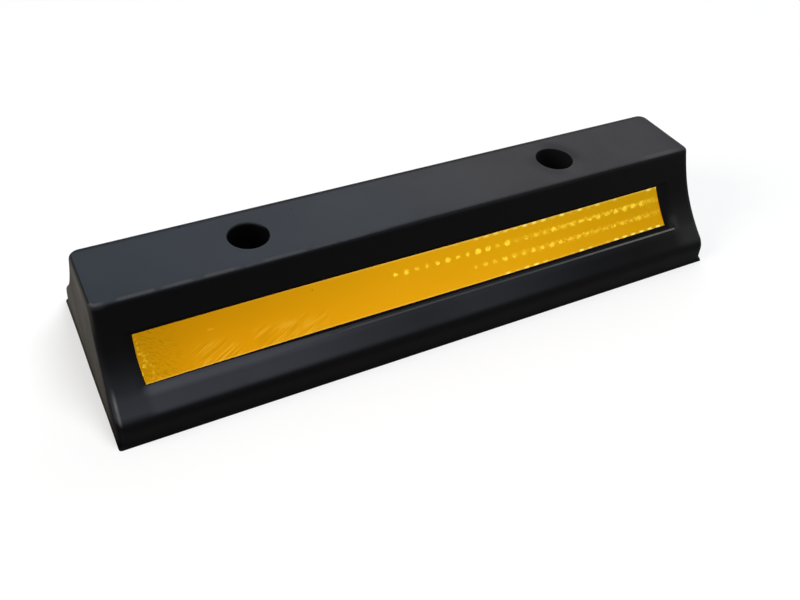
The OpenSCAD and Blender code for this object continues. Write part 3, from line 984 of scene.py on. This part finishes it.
# Studio: disc lamps round the object, each with its height and bearing in degrees (0 is the front, 90 the right)
studio = {
    "lampSize": 1.1, "lampReach": 2.0, "aim": 0.05,
    "lamps": {
        "overhead": (76, 45, 8.4, (0.96, 0.98, 1.0)), "left": (30, 270, 7.3, (1.0, 0.97, 0.93)),
        "rear": (30, 150, 2.8, (0.97, 0.98, 1.0)), "rearHigh": (54, 180, 1.7, (0.97, 0.98, 1.0)),
        "right": (30, 120, 1.6, (1.0, 1.0, 1.0)), "front": (30, 15, 1.2, (1.0, 1.0, 1.0)),
        "below": (-90, 0, 2.0, (1.0, 1.0, 1.0)),
    },
    "worldLight": 0.02, "floorSize": 12.0, "floorHeight": -0.0002,
    "floorColour": (0.98, 0.98, 0.98), "bounceColour": (0.5, 0.5, 0.5),
    # share of the floor's own white, near the object and far from it
    "whiteNear": 0.5, "nearReach": 0.45, "farReach": 1.1,
}

# The photograph's viewpoint, solved from the object's outline
camera = {
    "place": (-0.305695, -0.472377, 0.484228), "turn": (46.4497, -3.2735, -26.4936),
    "lens": 37.4793, "sensor": 36.0, "shift": (0.046035, 0.018807),
}


def seenDirectly(tree):
    # 1 for rays from the camera, a reflection or glass, 0 for the light that surfaces give each other
    path = node(tree, "ShaderNodeLightPath")
    return path, most(tree, *(path.outputs[f"Is {kind} Ray"] for kind in ("Camera", "Glossy", "Transmission")))


def floorMaterial():
    material, tree, shader = newMaterial("paleFloor")
    tree.nodes.remove(shader)
    path, seen = seenDirectly(tree)
    place = node(tree, "ShaderNodeTexCoord").outputs["Object"]
    reach = node(tree, "ShaderNodeVectorMath", {0: place}, operation="LENGTH").outputs["Value"]
    own = times(tree, fade(tree, reach, studio["nearReach"], studio["farReach"], studio["whiteNear"], 1.0), seen)
    colour = blend(tree, seen, studio["bounceColour"], studio["floorColour"])
    matt = node(tree, "ShaderNodeBsdfDiffuse", {"Color": colour})
    white = node(tree, "ShaderNodeEmission")
    lit = node(tree, "ShaderNodeMixShader", {0: own, 1: matt.outputs[0], 2: white.outputs[0]})
    # seen from below the floor isn't there, and the lamp under it shines through
    back = node(tree, "ShaderNodeNewGeometry").outputs["Backfacing"]
    gone = calc(tree, "MAXIMUM", back, path.outputs["Is Shadow Ray"])
    clear = node(tree, "ShaderNodeBsdfTransparent")
    whole = node(tree, "ShaderNodeMixShader", {0: gone, 1: lit.outputs[0], 2: clear.outputs[0]})
    tree.links.new(whole.outputs[0], tree.nodes["Material Output"].inputs["Surface"])
    return material


def buildFloor():
    bm = bmesh.new()
    bmesh.ops.create_grid(bm, x_segments=1, y_segments=1, size=studio["floorSize"] / 2)
    mesh = bpy.data.meshes.new("floor")
    bm.to_mesh(mesh)
    bm.free()
    floor = bpy.data.objects.new("floor", mesh)
    floor.location.z = studio["floorHeight"]
    bpy.context.scene.collection.objects.link(floor)
    mesh.materials.append(floorMaterial())


def buildLamp(name, height, bearing, radiance, colour):
    lift, turn = math.radians(height), math.radians(bearing)
    away = Vector((math.sin(turn) * math.cos(lift), -math.cos(turn) * math.cos(lift), math.sin(lift)))
    light = bpy.data.lights.new(name, "AREA")
    light.shape = "DISK"
    light.size = studio["lampSize"]
    light.energy = radiance * math.pi * math.pi * light.size ** 2 / 4
    light.color = colour
    lamp = bpy.data.objects.new(name, light)
    lamp.location = away * studio["lampReach"] + Vector((0, 0, studio["aim"]))
    lamp.rotation_euler = away.to_track_quat("Z", "Y").to_euler()
    lamp.visible_camera = False
    bpy.context.scene.collection.objects.link(lamp)


def buildWorld():
    world = bpy.data.worlds.new("studio")
    world.use_nodes = True
    tree = world.node_tree
    seen = seenDirectly(tree)[1]
    tree.links.new(fade(tree, seen, 0.0, 1.0, studio["worldLight"], 1.0), tree.nodes["Background"].inputs["Strength"])
    tree.nodes["Background"].inputs["Color"].default_value = (1, 1, 1, 1)
    bpy.context.scene.world = world


def buildCamera():
    scene = bpy.context.scene
    view = bpy.data.cameras.new("photoCamera")
    view.sensor_width = camera["sensor"]
    view.lens = camera["lens"]
    view.shift_x, view.shift_y = camera["shift"]
    view.clip_start, view.clip_end = 0.01, 50
    viewer = bpy.data.objects.new("photoCamera", view)
    viewer.location = camera["place"]
    viewer.rotation_euler = Euler([math.radians(a) for a in camera["turn"]], "XYZ")
    scene.collection.objects.link(viewer)
    scene.camera = viewer
    scene.view_settings.view_transform = "Standard"


rubber = rubberMaterial()
amber = stripMaterial()
print("materials done")

bodyPiece = buildBody()
bodyPiece.data.materials.append(rubber)
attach(bodyPiece, "root")
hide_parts("rubber_body")
print("body done")

stripPiece = buildStrip()
stripPiece.data.materials.append(amber)
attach(stripPiece, "root")
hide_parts("reflective_strip")
print("strip done")

buildFloor()
for lampName, values in studio["lamps"].items():
    buildLamp(lampName, *values)
buildWorld()
buildCamera()
print("studio done")
